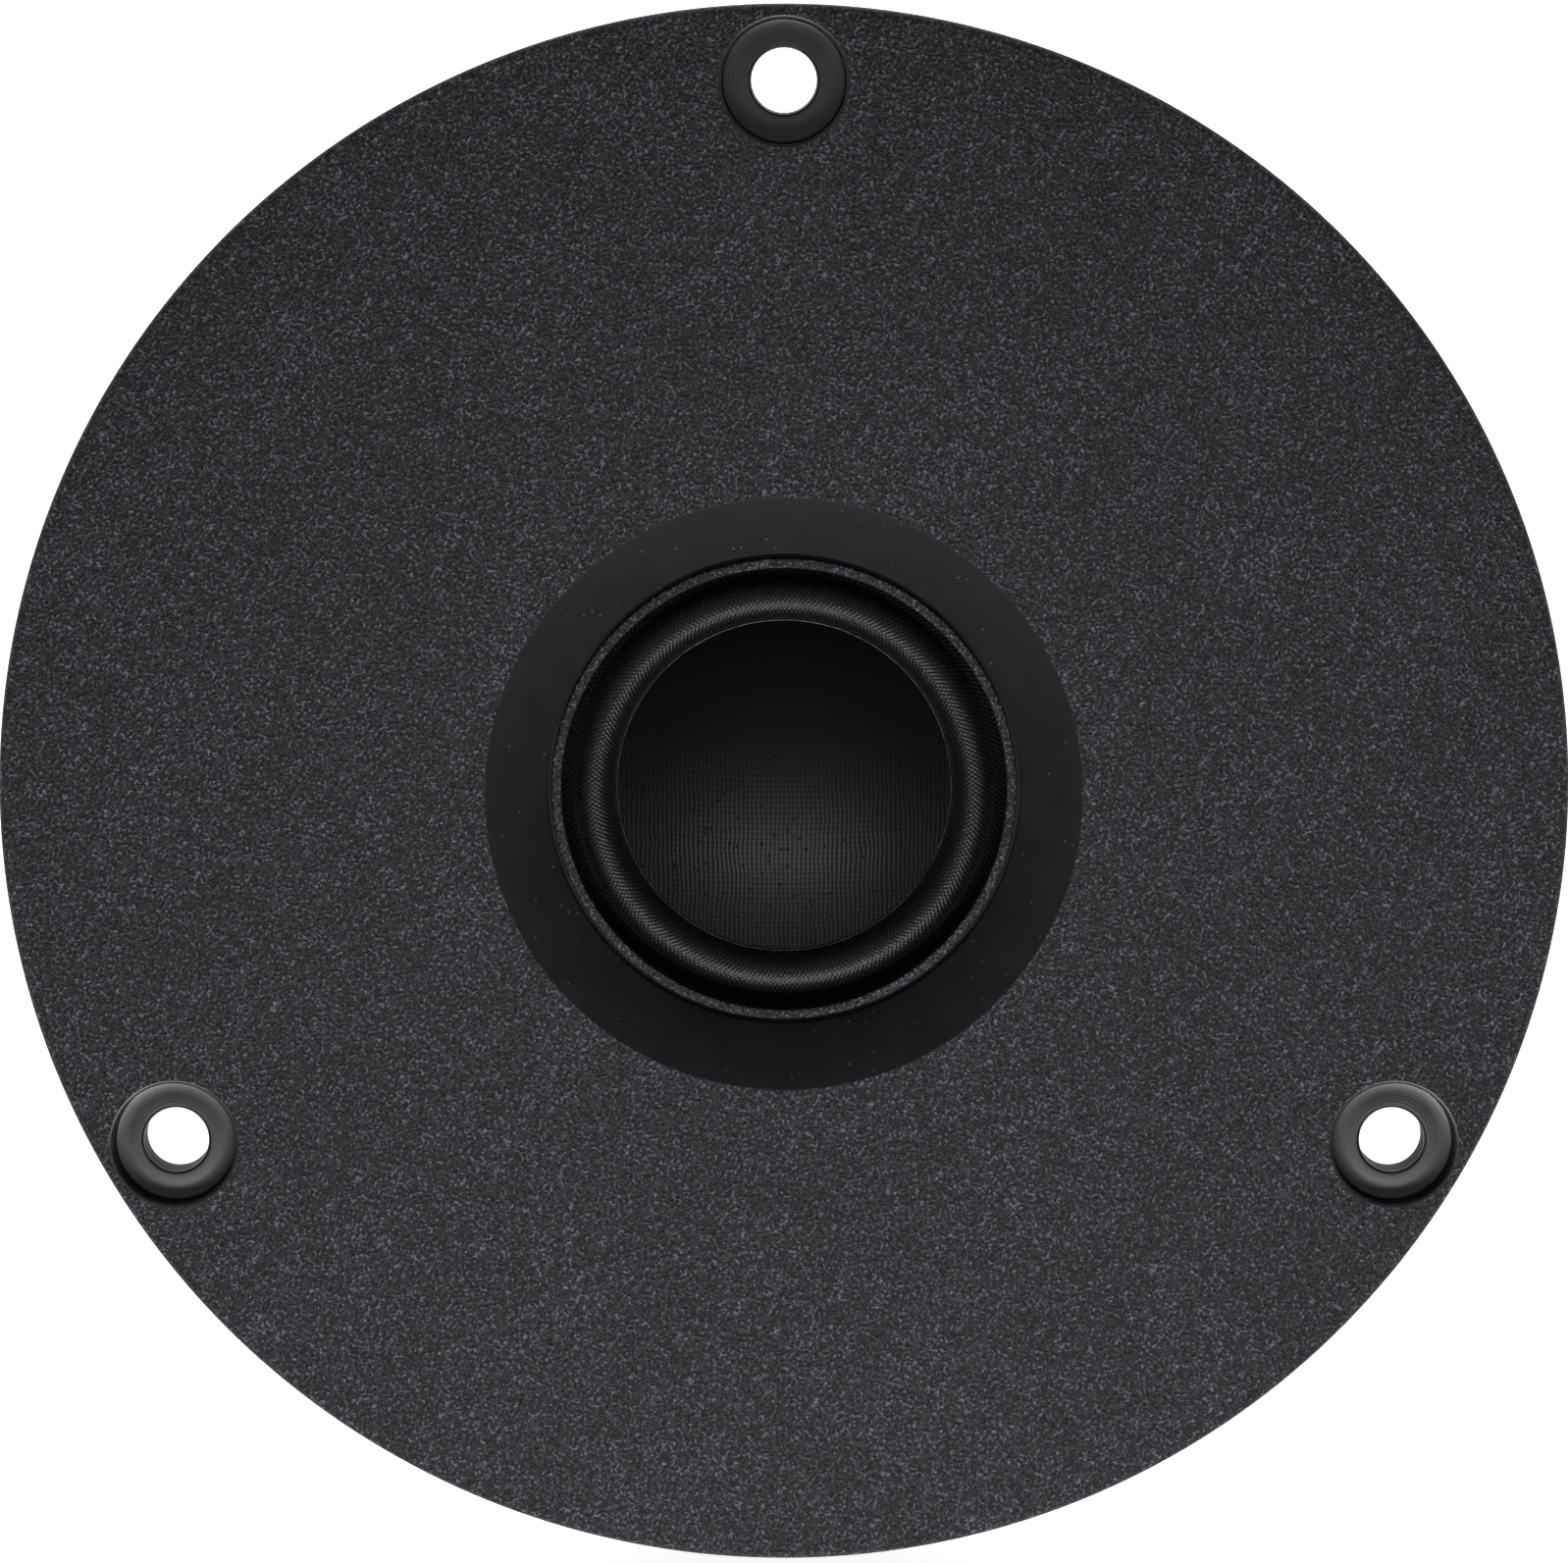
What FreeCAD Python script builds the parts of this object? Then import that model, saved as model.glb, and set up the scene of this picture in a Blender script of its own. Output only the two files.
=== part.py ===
import FreeCAD, Part
import math
import os
import re

import Sketcher

Vector = FreeCAD.Vector

# A flush-mounting soft-dome tweeter, in millimetres. Its axis is Y: the front faces -Y, +Z is up and one
# mounting screw is at the top. The origin is on the axis, in the flange's rear face (y = 0).

SIZES = {
    # Faceplate: the flange, its conical recess, and the lip round the opening.
    "plate_dia": 104,
    "plate_thick": 4,
    "plate_edge_round": 0.6,
    "rear_edge_bevel": 0.3,
    "recess_dia": 39.3,
    "recess_depth": 2.8,
    "groove_width": 0.3,
    "groove_depth": 0.5,
    "lip_outer_dia": 31.0,
    "lip_inner_dia": 29.7,
    "lip_round": 0.15,
    # Faceplate: mounting holes.
    "screw_circle_dia": 94,
    "mount_hole_dia": 4.3,
    "counterbore_dia": 8.2,
    "counterbore_depth": 1.7,
    "counterbore_crown": 0.1,
    "hole_edge": 0.3,
    # Faceplate: rear rim, ribs, bosses and the pad for the terminals.
    "rim_outer_dia": 79,
    "rim_wall": 1.5,
    "rim_height": 5.6,
    "motor_seat": 3.2,
    "ring_pocket_dia": 40,
    "ring_pocket_floor": 1,
    "ring_rib_wall": 1.5,
    "rib_wall": 1.2,
    "boss_dia": 7.2,
    "pilot_dia": 3,
    "pilot_depth": 1,
    "pad_inner_offset": 32.4,
    "pad_length": 25,
    "slot_width": 1.4,
    # Gasket.
    "gasket_inner_dia": 81.4,
    "gasket_outer_dia": 88.2,
    "gasket_thick": 0.8,
    # Diaphragm: dome, surround, former and winding.
    "dome_dia": 22.5,
    "dome_height": 4.6,
    "dome_edge_depth": 1,
    "cloth_thick": 0.25,
    "skirt_wall": 0.2,
    "skirt_end": 2.2,
    "roll_centre_dia": 25.7,
    "roll_radius": 1.6,
    "cuff_end": 1.7,
    "flange_dia": 34,
    "former_wall": 0.12,
    "former_start": 1.3,
    "former_end": 6.4,
    "winding_start": 3.5,
    "winding_height": 2.4,
    "winding_wall": 0.45,
    # Diaphragm ring and its pins.
    "ring_inner_dia": 28.8,
    "ring_outer_dia": 39.2,
    "pin_circle_dia": 35.6,
    "pin_dia": 2,
    "pin_front": 1.8,
    "fit_gap": 0.03,
    # Motor.
    "top_plate_dia": 75,
    "top_plate_thick": 3,
    "top_plate_flat": 32,
    "gap_outer_dia": 23.7,
    "motor_screw_circle_dia": 68,
    "motor_screw_dia": 2.9,
    "motor_screw_length": 7,
    "motor_screw_clearance": 3.5,
    "motor_head_dia": 5.4,
    "motor_head_height": 1.9,
    "drive_width": 0.7,
    "drive_length": 3,
    "drive_depth": 1.1,
    "magnet_dia": 60,
    "magnet_bore": 32,
    "magnet_thick": 12,
    "magnet_edge": 0.8,
    "back_plate_dia": 58,
    "back_plate_thick": 4,
    "back_plate_edge": 0.7,
    "pole_dia": 20.5,
    "pole_front": 2.9,
    "pole_tail_dia": 16,
    "pole_tail_edge": 0.5,
    "vent_dia": 6,
    "cap_wall": 0.3,
    "cap_end": 8,
    "felt_dia": 17,
    "felt_thick": 1,
    "felt_hole_dia": 6.6,
    "plug_length": 5,
    "plug_inset": 0.6,
    "label_inner_dia": 20,
    "label_outer_dia": 50,
    "label_thick": 0.15,
    # Terminals.
    "board_thick": 1.6,
    "board_outer_dia": 77.2,
    "board_length": 24,
    "tab_line": 34.5,
    "tab_thick": 0.8,
    "tab_height": 8.5,
    "tab_tip": 0.9,
    "tab_hole_dia": 1.3,
    "positive_width": 4.8,
    "negative_width": 2.8,
    "foot_width": 3.4,
    "foot_start": 2.7,
    "blade_offset": 9.4,
    "rivet_offset": 6.4,
    "rivet_dia": 2,
    "rivet_head_dia": 3,
    "rivet_head_height": 0.5,
    "rivet_tail": 0.6,
    "rivet_pocket_dia": 3.6,
    "rivet_pocket_depth": 1.4,
    "washer_dia": 3.6,
    "washer_thick": 0.4,
    "board_screw_dia": 2,
    "board_screw_length": 5,
    "board_head_dia": 3.8,
    "board_head_height": 1.5,
    "lead_dia": 0.45,
    "lead_offset": 3.6,
    "lead_start": 10.85,
    "lead_line": 2.2,
    "lead_bend": 1.5,
    "lead_hole_dia": 1,
    "solder_dia": 1.9,
    "solder_height": 0.7,
    # The notch that the leads pass through, in the diaphragm ring and in the rib round it.
    "notch_width": 9.2,
    "notch_floor": 1.6,
    # How far a cut runs past the surface that it opens.
    "overcut": 1,
}

MOUNT_HOLES = 3
MOTOR_SCREWS = 3
RIBS = 12

# Places along the axis, as expressions of the sizes above.
FRONT = "-plate_thick"
LIP_FRONT = "recess_depth - plate_thick"
APEX = "dome_edge_depth - dome_height"
FLANGE_REAR = "ring_pocket_floor + cloth_thick"
PLATE_REAR = "motor_seat + top_plate_thick"
MAGNET_REAR = "motor_seat + top_plate_thick + magnet_thick"
MOTOR_REAR = "motor_seat + top_plate_thick + magnet_thick + back_plate_thick"
BOARD_REAR = "rim_height + board_thick"
FOOT_REAR = "rim_height + board_thick + tab_thick"
CAP_FRONT = "pole_front - cap_wall"
FORMER_OUTER = "dome_dia / 2 - skirt_wall"

doc = FreeCAD.newDocument("tweeter")
sheet = doc.addObject("Spreadsheet::Sheet", "sizes")
for row, (alias, size) in enumerate(SIZES.items(), start=1):
    sheet.set(f"A{row}", alias)
    sheet.set(f"B{row}", str(size))
    sheet.setAlias(f"B{row}", alias)
doc.recompute()

parts = []


def linked(expression):
    """The expression with each size's name pointing at its cell."""
    return re.sub(r"[a-z_]+", lambda word: f"sizes.{word[0]}" if word[0] in SIZES else word[0], expression)


def value(expression):
    return float(sheet.evalExpression(linked(expression)))


def bind(item, target, expression):
    item.setExpression(target, linked(expression))


def new_body(name):
    body = doc.addObject("PartDesign::Body", name)
    body.Label = name
    parts.append(body)
    return body


def origin_feature(body, role):
    return next(feature for feature in body.Origin.OriginFeatures if feature.Role == role)


def new_sketch(body, name, role="XY_Plane", offset=None):
    """A sketch on one of the body's own planes, moved along that plane's normal."""
    sketch = body.newObject("Sketcher::SketchObject", name)
    sketch.AttachmentSupport = [(origin_feature(body, role), "")]
    sketch.MapMode = "FlatFace"
    if offset:
        bind(sketch, "AttachmentOffset.Base.z", offset)
    doc.recompute()
    return sketch


def arc_between(start, end, radius):
    """The shorter arc between two points. It bulges to the right of the way from start to end, or to the left
    when the radius is negative. It is always stored counter-clockwise, so then it begins at the end point."""
    chord = end - start
    right = Vector(chord.y, -chord.x, 0).normalize() * math.copysign(1, radius)
    centre = (start + end) * 0.5 - right * math.sqrt(max(radius ** 2 - chord.Length ** 2 / 4, 0))
    first, last = (end, start) if radius < 0 else (start, end)
    first_angle, last_angle = (math.atan2(spot.y - centre.y, spot.x - centre.x) for spot in (first, last))
    if last_angle < first_angle:
        last_angle += 2 * math.pi
    return Part.ArcOfCircle(Part.Circle(centre, Vector(0, 0, 1), abs(radius)), first_angle, last_angle)


def fix_point(sketch, geometry, position, across, up):
    """Ties a point of the sketch to its two coordinates."""
    for kind, expression in (("DistanceX", across), ("DistanceY", up)):
        index = sketch.addConstraint(
            Sketcher.Constraint(kind, -1, 1, geometry, position, value(expression))
        )
        bind(sketch, f"Constraints[{index}]", expression)


def add_outline(sketch, corners):
    """A closed outline. A corner is (across, up), or (across, up, radius) when an arc leads to it, as
    arc_between draws it."""
    places = [Vector(value(corner[0]), value(corner[1]), 0) for corner in corners]
    edges = []
    for index, corner in enumerate(corners):
        start = places[index - 1]
        if len(corner) == 3:
            radius = value(corner[2])
            edge = sketch.addGeometry(arc_between(start, places[index], radius))
            edges.append((edge, 2, 1) if radius < 0 else (edge, 1, 2))
            size = sketch.addConstraint(Sketcher.Constraint("Radius", edge, abs(radius)))
            bind(sketch, f"Constraints[{size}]", f"abs({corner[2]})")
        else:
            edges.append((sketch.addGeometry(Part.LineSegment(start, places[index])), 1, 2))
    for index, (edge, first, last) in enumerate(edges):
        following, next_first, _ = edges[(index + 1) % len(edges)]
        sketch.addConstraint(Sketcher.Constraint("Coincident", edge, last, following, next_first))
        fix_point(sketch, edge, last, corners[index][0], corners[index][1])


def add_circle(sketch, across, up, diameter):
    circle = sketch.addGeometry(
        Part.Circle(Vector(value(across), value(up), 0), Vector(0, 0, 1), value(diameter) / 2)
    )
    fix_point(sketch, circle, 3, across, up)
    index = sketch.addConstraint(Sketcher.Constraint("Diameter", circle, value(diameter)))
    bind(sketch, f"Constraints[{index}]", diameter)


def add_rectangle(sketch, left, right, low, high):
    add_outline(sketch, [(left, low), (right, low), (right, high), (left, high)])


def revolve(body, name, corners, cut=False, axis=None, plane="XY_Plane", offset=None):
    """Turns an outline about the Y axis, or about the line through two points of the sketch. In XY_Plane the
    outline shows X to the right and Y up, in YZ_Plane Y to the right and Z up."""
    sketch = new_sketch(body, f"{name}_outline", plane, offset)
    add_outline(sketch, corners)
    if axis:
        ends = [Vector(value(across), value(up), 0) for across, up in axis]
        line = sketch.addGeometry(Part.LineSegment(*ends), True)
        for position, (across, up) in enumerate(axis, start=1):
            fix_point(sketch, line, position, across, up)
    doc.recompute()
    feature = body.newObject("PartDesign::Groove" if cut else "PartDesign::Revolution", name)
    feature.Profile = sketch
    feature.ReferenceAxis = (sketch, ["Axis0" if axis else "V_Axis"])
    feature.Angle = 360
    doc.recompute()
    return feature


def extrude(body, name, draw, start, end, cut=False, turn=0):
    """Pads or pockets what draw() puts in a sketch, between two places along the Y axis. The sketch shows X to
    the right and Z up, turned about Y by some degrees; its normal is -Y."""
    sketch = new_sketch(body, f"{name}_outline", "XZ_Plane")
    sketch.AttachmentOffset = FreeCAD.Placement(Vector(), FreeCAD.Rotation(Vector(0, 0, 1), turn))
    bind(sketch, "AttachmentOffset.Base.z", f"-({end})")
    draw(sketch)
    doc.recompute()
    feature = body.newObject("PartDesign::Pocket" if cut else "PartDesign::Pad", name)
    feature.Profile = sketch
    bind(feature, "Length", f"({end}) - ({start})")
    feature.Reversed = cut
    doc.recompute()
    return feature


def repeat(body, name, features, count):
    """Repeats features evenly round the Y axis."""
    pattern = body.newObject("PartDesign::PolarPattern", name)
    pattern.Originals = features
    pattern.Axis = (origin_feature(body, "Y_Axis"), [""])
    pattern.Angle = 360
    pattern.Occurrences = count
    body.Tip = pattern
    doc.recompute()
    return pattern


def ring(name, inner, outer, front, rear):
    """A plain flat ring about the axis."""
    body = new_body(name)
    revolve(body, f"{name}_ring", [
        (f"({inner}) / 2", front),
        (f"({outer}) / 2", front),
        (f"({outer}) / 2", rear),
        (f"({inner}) / 2", rear),
    ])
    return body


def motor_cross(sketch):
    """The cross recess of a motor screw, seen from behind."""
    centre = "motor_screw_circle_dia / 2"
    long, short = "drive_length / 2", "drive_width / 2"
    add_outline(sketch, [
        (f"{centre} + {across}", up) for across, up in (
            (long, f"-{short}"), (long, short), (short, short), (short, long),
            (f"-{short}", long), (f"-{short}", short), (f"-{long}", short), (f"-{long}", f"-{short}"),
            (f"-{short}", f"-{short}"), (f"-{short}", f"-{long}"), (short, f"-{long}"), (short, f"-{short}"),
        )
    ])


def faceplate():
    body = new_body("faceplate")
    inner, outer = "lip_inner_dia / 2", "lip_outer_dia / 2"
    groove_floor = f"{LIP_FRONT} + groove_depth"
    rim_inner = "rim_outer_dia / 2 - rim_wall"
    rib_outer = "ring_pocket_dia / 2 + ring_rib_wall"
    revolve(body, "plate", [
        (inner, "ring_pocket_floor"),
        (inner, f"{LIP_FRONT} + lip_round"),
        (f"{inner} + lip_round", LIP_FRONT, "lip_round"),
        (f"{outer} - lip_round", LIP_FRONT),
        (outer, f"{LIP_FRONT} + lip_round", "lip_round"),
        (outer, groove_floor),
        (f"{outer} + groove_width", groove_floor),
        (f"{outer} + groove_width", LIP_FRONT),
        ("recess_dia / 2", FRONT),
        ("plate_dia / 2 - plate_edge_round", FRONT),
        ("plate_dia / 2", f"{FRONT} + plate_edge_round", "plate_edge_round"),
        ("plate_dia / 2", "-rear_edge_bevel"),
        ("plate_dia / 2 - rear_edge_bevel", "0"),
        ("gasket_outer_dia / 2 + fit_gap", "0"),
        ("gasket_outer_dia / 2 + fit_gap", "-gasket_thick"),
        ("gasket_inner_dia / 2 - fit_gap", "-gasket_thick"),
        ("gasket_inner_dia / 2 - fit_gap", "0"),
        ("rim_outer_dia / 2", "0"),
        ("rim_outer_dia / 2", "rim_height"),
        (rim_inner, "rim_height"),
        (rim_inner, "0"),
        (rib_outer, "0"),
        (rib_outer, "motor_seat"),
        ("ring_pocket_dia / 2", "motor_seat"),
        ("ring_pocket_dia / 2", "ring_pocket_floor"),
    ])

    hole_height = "screw_circle_dia / 2"
    floor = f"{FRONT} + counterbore_depth"
    mount_hole = revolve(body, "mount_hole", [
        (f"{FRONT} - overcut", hole_height),
        (f"{FRONT} - overcut", f"{hole_height} + counterbore_dia / 2"),
        (floor, f"{hole_height} + counterbore_dia / 2"),
        (f"{floor} - counterbore_crown", f"{hole_height} + mount_hole_dia / 2 + hole_edge"),
        (f"{floor} - counterbore_crown + hole_edge", f"{hole_height} + mount_hole_dia / 2"),
        ("overcut", f"{hole_height} + mount_hole_dia / 2"),
        ("overcut", hole_height),
    ], cut=True, axis=[("0", hole_height), ("1", hole_height)], plane="YZ_Plane")
    repeat(body, "mount_holes", [mount_hole], MOUNT_HOLES)

    rib = extrude(
        body, "rib",
        lambda sketch: add_rectangle(
            sketch, f"{rib_outer} - rim_wall / 2", f"{rim_inner} + rim_wall / 2",
            "-rib_wall / 2", "rib_wall / 2"),
        "-gasket_thick", "motor_seat", turn=180 / RIBS)
    repeat(body, "ribs", [rib], RIBS)

    boss = extrude(
        body, "boss", lambda sketch: add_circle(sketch, "motor_screw_circle_dia / 2", "0", "boss_dia"),
        "-gasket_thick", "motor_seat")
    pilot = extrude(
        body, "pilot", lambda sketch: add_circle(sketch, "motor_screw_circle_dia / 2", "0", "pilot_dia"),
        "-pilot_depth", "motor_seat", cut=True)
    repeat(body, "bosses", [boss, pilot], MOTOR_SCREWS)

    def pad_outline(sketch):
        radius = "rim_outer_dia / 2 - rim_wall / 2"
        reach = f"sqrt(({radius})^2 - (pad_length / 2)^2)"
        add_outline(sketch, [
            ("-pad_inner_offset", "pad_length / 2"),
            (f"-{reach}", "pad_length / 2"),
            (f"-{reach}", "-pad_length / 2", radius),
            ("-pad_inner_offset", "-pad_length / 2"),
        ])

    def lead_slots(sketch):
        for side in ("", "-"):
            middle = f"{side}lead_offset"
            add_rectangle(sketch, "-tab_line - slot_width / 2", "-pad_inner_offset + overcut",
                          f"{middle} - slot_width / 2", f"{middle} + slot_width / 2")

    def rivet_pockets(sketch):
        for side in ("", "-"):
            add_circle(sketch, "-tab_line", f"{side}rivet_offset", "rivet_pocket_dia")

    extrude(body, "terminal_pad", pad_outline, "-gasket_thick", "rim_height")
    extrude(body, "lead_slots", lead_slots, "notch_floor", "rim_height", cut=True)
    extrude(body, "rivet_pockets", rivet_pockets, "rim_height - rivet_pocket_depth", "rim_height", cut=True)
    extrude(
        body, "board_pilot",
        lambda sketch: add_circle(sketch, "-tab_line", "0", "board_screw_dia + 2 * fit_gap"),
        "rim_height - board_screw_length", "rim_height", cut=True)
    extrude(
        body, "lead_notch",
        lambda sketch: add_rectangle(
            sketch, f"-({rib_outer}) - overcut", "-ring_pocket_dia / 2 + overcut",
            "-notch_width / 2", "notch_width / 2"),
        "notch_floor", "motor_seat", cut=True)


def dome():
    body = new_body("dome")
    radius = "((dome_dia / 2)^2 + dome_height^2) / (2 * dome_height)"
    inner_radius = f"({radius} - cloth_thick)"
    inner_edge = f"{APEX} + {radius} - sqrt({inner_radius}^2 - ({FORMER_OUTER})^2)"
    revolve(body, "dome_solid", [
        ("dome_dia / 2", "dome_edge_depth", radius),
        ("dome_dia / 2", "skirt_end"),
        ("0", "skirt_end"),
        ("0", APEX),
    ])
    revolve(body, "dome_hollow", [
        (FORMER_OUTER, inner_edge, inner_radius),
        (FORMER_OUTER, "skirt_end + overcut"),
        ("0", "skirt_end + overcut"),
        ("0", f"{APEX} + cloth_thick"),
    ], cut=True)


def surround():
    body = new_body("surround")
    middle = "roll_centre_dia / 2"
    inner_roll = "(roll_radius - cloth_thick)"
    flange_start = f"{middle} + sqrt(roll_radius^2 - cloth_thick^2)"
    revolve(body, "surround_shell", [
        (f"{middle} - roll_radius", "cuff_end"),
        (f"{middle} - roll_radius", FLANGE_REAR),
        (middle, f"{FLANGE_REAR} - roll_radius", "roll_radius"),
        (flange_start, "ring_pocket_floor", "roll_radius"),
        ("flange_dia / 2", "ring_pocket_floor"),
        ("flange_dia / 2", FLANGE_REAR),
        (f"{middle} + {inner_roll}", FLANGE_REAR),
        (middle, f"{FLANGE_REAR} - {inner_roll}", f"-{inner_roll}"),
        (f"{middle} - {inner_roll}", FLANGE_REAR, f"-{inner_roll}"),
        (f"{middle} - {inner_roll}", "cuff_end"),
    ])


def voice_coil():
    inner = f"2 * ({FORMER_OUTER} - former_wall)"
    outer = f"2 * ({FORMER_OUTER})"
    ring("voice_coil_former", inner, outer, "former_start", "former_end")
    ring("voice_coil_winding", outer, f"{outer} + 2 * winding_wall",
         "winding_start", "winding_start + winding_height")


def pin_circles(diameter):
    """Draws the locating pins, above and below the axis."""
    def draw(sketch):
        for side in ("", "-"):
            add_circle(sketch, "0", f"{side}pin_circle_dia / 2", diameter)
    return draw


def diaphragm_ring():
    body = ring("diaphragm_ring", "ring_inner_dia", "ring_outer_dia", FLANGE_REAR, "motor_seat")
    extrude(
        body, "ring_notch",
        lambda sketch: add_rectangle(
            sketch, "-ring_outer_dia / 2 - overcut", "-ring_inner_dia / 2 + 2 * overcut",
            "-notch_width / 2", "notch_width / 2"),
        "notch_floor", "motor_seat", cut=True)
    extrude(body, "ring_pin_holes", pin_circles("pin_dia + 4 * fit_gap"), "notch_floor", "motor_seat", cut=True)


def locating_pins():
    body = new_body("locating_pins")
    body.AllowCompound = True
    extrude(body, "pins", pin_circles("pin_dia"), "pin_front", PLATE_REAR)


def top_plate():
    body = ring("top_plate", "gap_outer_dia", "top_plate_dia", "motor_seat", PLATE_REAR)
    extrude(
        body, "top_plate_side",
        lambda sketch: add_rectangle(
            sketch, "-top_plate_dia / 2 - overcut", "-top_plate_flat",
            "-top_plate_dia / 2", "top_plate_dia / 2"),
        "motor_seat", PLATE_REAR, cut=True)
    extrude(body, "pin_holes", pin_circles("pin_dia + 2 * fit_gap"), "motor_seat", PLATE_REAR, cut=True)
    hole = extrude(
        body, "screw_hole",
        lambda sketch: add_circle(sketch, "motor_screw_circle_dia / 2", "0", "motor_screw_clearance"),
        "motor_seat", PLATE_REAR, cut=True)
    repeat(body, "screw_holes", [hole], MOTOR_SCREWS)


def magnet():
    body = new_body("magnet")
    inner, outer, edge = "magnet_bore / 2", "magnet_dia / 2", "magnet_edge"
    revolve(body, "magnet_ring", [
        (inner, PLATE_REAR),
        (f"{outer} - {edge}", PLATE_REAR),
        (outer, f"{PLATE_REAR} + {edge}"),
        (outer, f"{MAGNET_REAR} - {edge}"),
        (f"{outer} - {edge}", MAGNET_REAR),
        (inner, MAGNET_REAR),
    ])


def back_plate():
    body = new_body("back_plate")
    inner, outer, edge = "pole_tail_dia / 2 + fit_gap", "back_plate_dia / 2", "back_plate_edge"
    revolve(body, "back_plate_disc", [
        (inner, MAGNET_REAR),
        (outer, MAGNET_REAR),
        (outer, f"{MOTOR_REAR} - {edge}"),
        (f"{outer} - {edge}", MOTOR_REAR, edge),
        (inner, MOTOR_REAR),
    ])


def pole_piece():
    body = new_body("pole_piece")
    revolve(body, "pole", [
        ("vent_dia / 2", "pole_front"),
        ("pole_dia / 2", "pole_front"),
        ("pole_dia / 2", MAGNET_REAR),
        ("pole_tail_dia / 2", MAGNET_REAR),
        ("pole_tail_dia / 2", f"{MOTOR_REAR} - pole_tail_edge"),
        ("pole_tail_dia / 2 - pole_tail_edge", MOTOR_REAR),
        ("vent_dia / 2", MOTOR_REAR),
    ])


def copper_cap():
    body = new_body("copper_cap")
    inner, outer = "pole_dia / 2 + fit_gap", "pole_dia / 2 + cap_wall"
    revolve(body, "cap", [
        ("felt_hole_dia / 2", CAP_FRONT),
        (f"{outer} - cap_wall", CAP_FRONT),
        (outer, f"{CAP_FRONT} + cap_wall", "cap_wall"),
        (outer, "cap_end"),
        (inner, "cap_end"),
        (inner, "pole_front"),
        ("felt_hole_dia / 2", "pole_front"),
    ])


def felts():
    ring("pole_felt", "felt_hole_dia", "felt_dia", f"{CAP_FRONT} - felt_thick", CAP_FRONT)
    plug = new_body("vent_plug")
    extrude(plug, "plug", lambda sketch: add_circle(sketch, "0", "0", "vent_dia - 2 * fit_gap"),
            f"{MOTOR_REAR} - plug_inset - plug_length", f"{MOTOR_REAR} - plug_inset")


def screw_outline(axis_x, under_head, length, shank_dia, head_dia, head_height):
    """Half of a pan-head screw beside its own axis, with its head to the rear."""
    shank, head = f"{axis_x} + {shank_dia} / 2", f"{axis_x} + {head_dia} / 2"
    head_rear = f"{under_head} + {head_height}"
    return [
        (axis_x, f"{under_head} - {length}"),
        (f"{axis_x} + {shank_dia} / 4", f"{under_head} - {length}"),
        (shank, f"{under_head} - {length} + {shank_dia} / 2"),
        (shank, under_head),
        (head, under_head),
        (head, f"{under_head} + {head_height} / 2"),
        (f"{head} - {head_height} / 2", head_rear, f"{head_height} / 2"),
        (axis_x, head_rear),
    ]


def motor_screws():
    body = new_body("motor_screws")
    body.AllowCompound = True
    axis_x = "motor_screw_circle_dia / 2"
    screw = revolve(
        body, "motor_screw",
        screw_outline(axis_x, PLATE_REAR, "motor_screw_length", "motor_screw_dia",
                      "motor_head_dia", "motor_head_height"),
        axis=[(axis_x, "0"), (axis_x, "1")])
    head_rear = f"{PLATE_REAR} + motor_head_height"
    cross = extrude(body, "motor_drive", motor_cross, f"{head_rear} - drive_depth", head_rear, cut=True)
    repeat(body, "motor_screw_set", [screw, cross], MOTOR_SCREWS)


def terminal_board():
    body = new_body("terminal_board")

    def outline(sketch):
        reach = "sqrt((board_outer_dia / 2)^2 - (board_length / 2)^2)"
        add_outline(sketch, [
            ("-pad_inner_offset", "board_length / 2"),
            (f"-{reach}", "board_length / 2"),
            (f"-{reach}", "-board_length / 2", "board_outer_dia / 2"),
            ("-pad_inner_offset", "-board_length / 2"),
        ])
        add_circle(sketch, "-tab_line", "0", "board_screw_dia + 4 * fit_gap")
        for side in ("", "-"):
            add_circle(sketch, "-tab_line", f"{side}rivet_offset", "rivet_dia + 2 * fit_gap")
            add_circle(sketch, "-tab_line", f"{side}lead_offset", "lead_hole_dia")

    extrude(body, "board", outline, "rim_height", BOARD_REAR)


def terminal_screw():
    body = new_body("terminal_screw")
    axis_x = "-tab_line"
    revolve(
        body, "board_screw",
        screw_outline(axis_x, BOARD_REAR, "(board_screw_length - fit_gap)", "board_screw_dia",
                      "board_head_dia", "board_head_height"),
        axis=[(axis_x, "0"), (axis_x, "1")])
    head_rear = f"{BOARD_REAR} + board_head_height"
    extrude(
        body, "board_screw_slot",
        lambda sketch: add_rectangle(
            sketch, "-tab_line - drive_width / 2", "-tab_line + drive_width / 2",
            "-board_head_dia", "board_head_dia"),
        f"{head_rear} - board_head_height / 2", head_rear, cut=True)


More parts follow.
